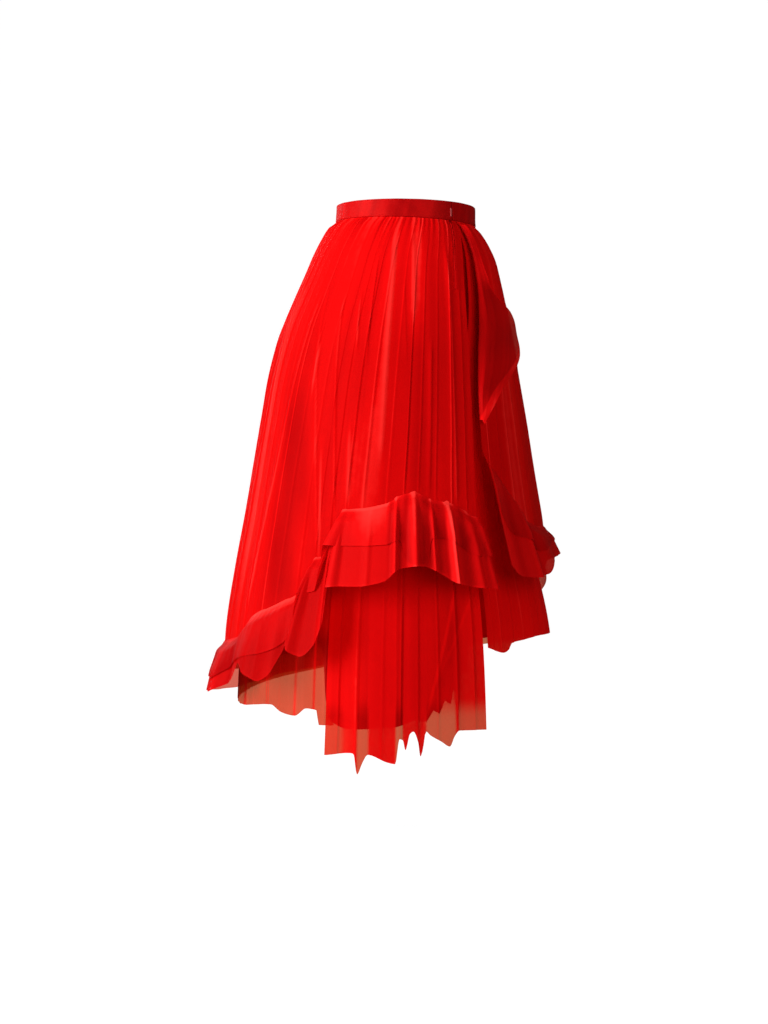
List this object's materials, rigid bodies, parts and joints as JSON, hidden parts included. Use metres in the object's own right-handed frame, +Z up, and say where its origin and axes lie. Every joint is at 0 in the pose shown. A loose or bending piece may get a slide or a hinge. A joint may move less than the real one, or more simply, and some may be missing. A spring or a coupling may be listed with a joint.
{
  "type": "pleated wrap skirt",
  "caption": "Red pleated tulle wrap skirt with a satin waistband, a tiered hem ruffle, a side flounce and a pointed sheer underskirt, filled out and held at the waist.",
  "frame": {"origin": "centre of the waist ring, halfway up the waistband, where the wearer's waist holds the skirt", "axes": "+Z up, the front of the skirt faces -Y, +X is on the right of someone who looks at the front"},
  "size_m": [0.6154, 0.5829, 0.9559],
  "materials": {
    "satin": "woven satin, soft sheen, folded over and edge-stitched",
    "hook_metal": "small pale bar",
    "zip_tape": "matt woven tape of a hidden zip",
    "lining": "opaque plain-woven lining",
    "sheer_tulle": "sheer crisp tulle, pressed pleats, raw hem",
    "pleated_tulle": "crisp tulle in pressed pleats, nearly opaque over the layers below",
    "ruffle_organza": "crisp glossy organza, folded edges"
  },
  "bodies": {
    "root": {"waistband": "satin", "waist_hook": "hook_metal", "side_zip": "zip_tape", "lining": "lining", "under_front": "sheer_tulle", "under_back": "sheer_tulle", "overlay": "pleated_tulle", "hem_ruffle_lower": "ruffle_organza", "hem_ruffle_upper": "ruffle_organza", "cascade": "ruffle_organza"}
  },
  "joints": []
}
